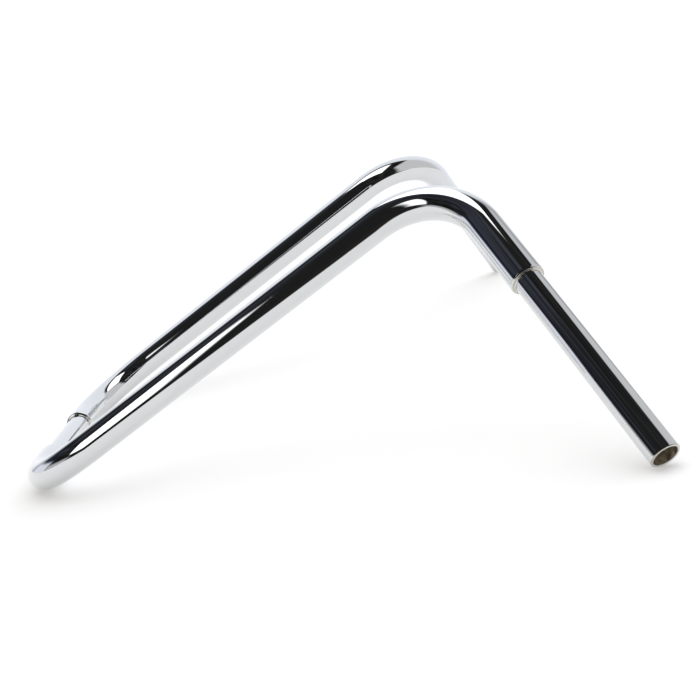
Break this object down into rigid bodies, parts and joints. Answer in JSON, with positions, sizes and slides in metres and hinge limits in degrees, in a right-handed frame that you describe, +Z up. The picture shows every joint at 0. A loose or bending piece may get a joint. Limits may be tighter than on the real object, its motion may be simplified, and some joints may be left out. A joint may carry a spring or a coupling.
{
  "type": "handlebar",
  "caption": "Tall bent-tube motorcycle handlebar with a stepped middle clamp section and open straight grip ends, chrome plated.",
  "frame": {"origin": "middle of the clamp section, on its axis", "axes": "+X along the clamp section towards the left grip, +Z up from the surface the bar stands on, +Y from the clamp section towards the grips"},
  "size_m": [0.9654, 0.5968, 0.2206],
  "materials": {
    "chrome": "mirror-polished chrome plating over steel tube",
    "weld": "chrome-plated weld, dressed smooth"
  },
  "bodies": {
    "root": {"clamp_tube": "chrome", "left_bent_tube": "chrome", "right_bent_tube": "chrome", "left_grip_tube": "chrome", "right_grip_tube": "chrome", "left_clamp_weld": "weld", "right_clamp_weld": "weld", "left_grip_weld": "weld", "right_grip_weld": "weld"}
  },
  "joints": []
}
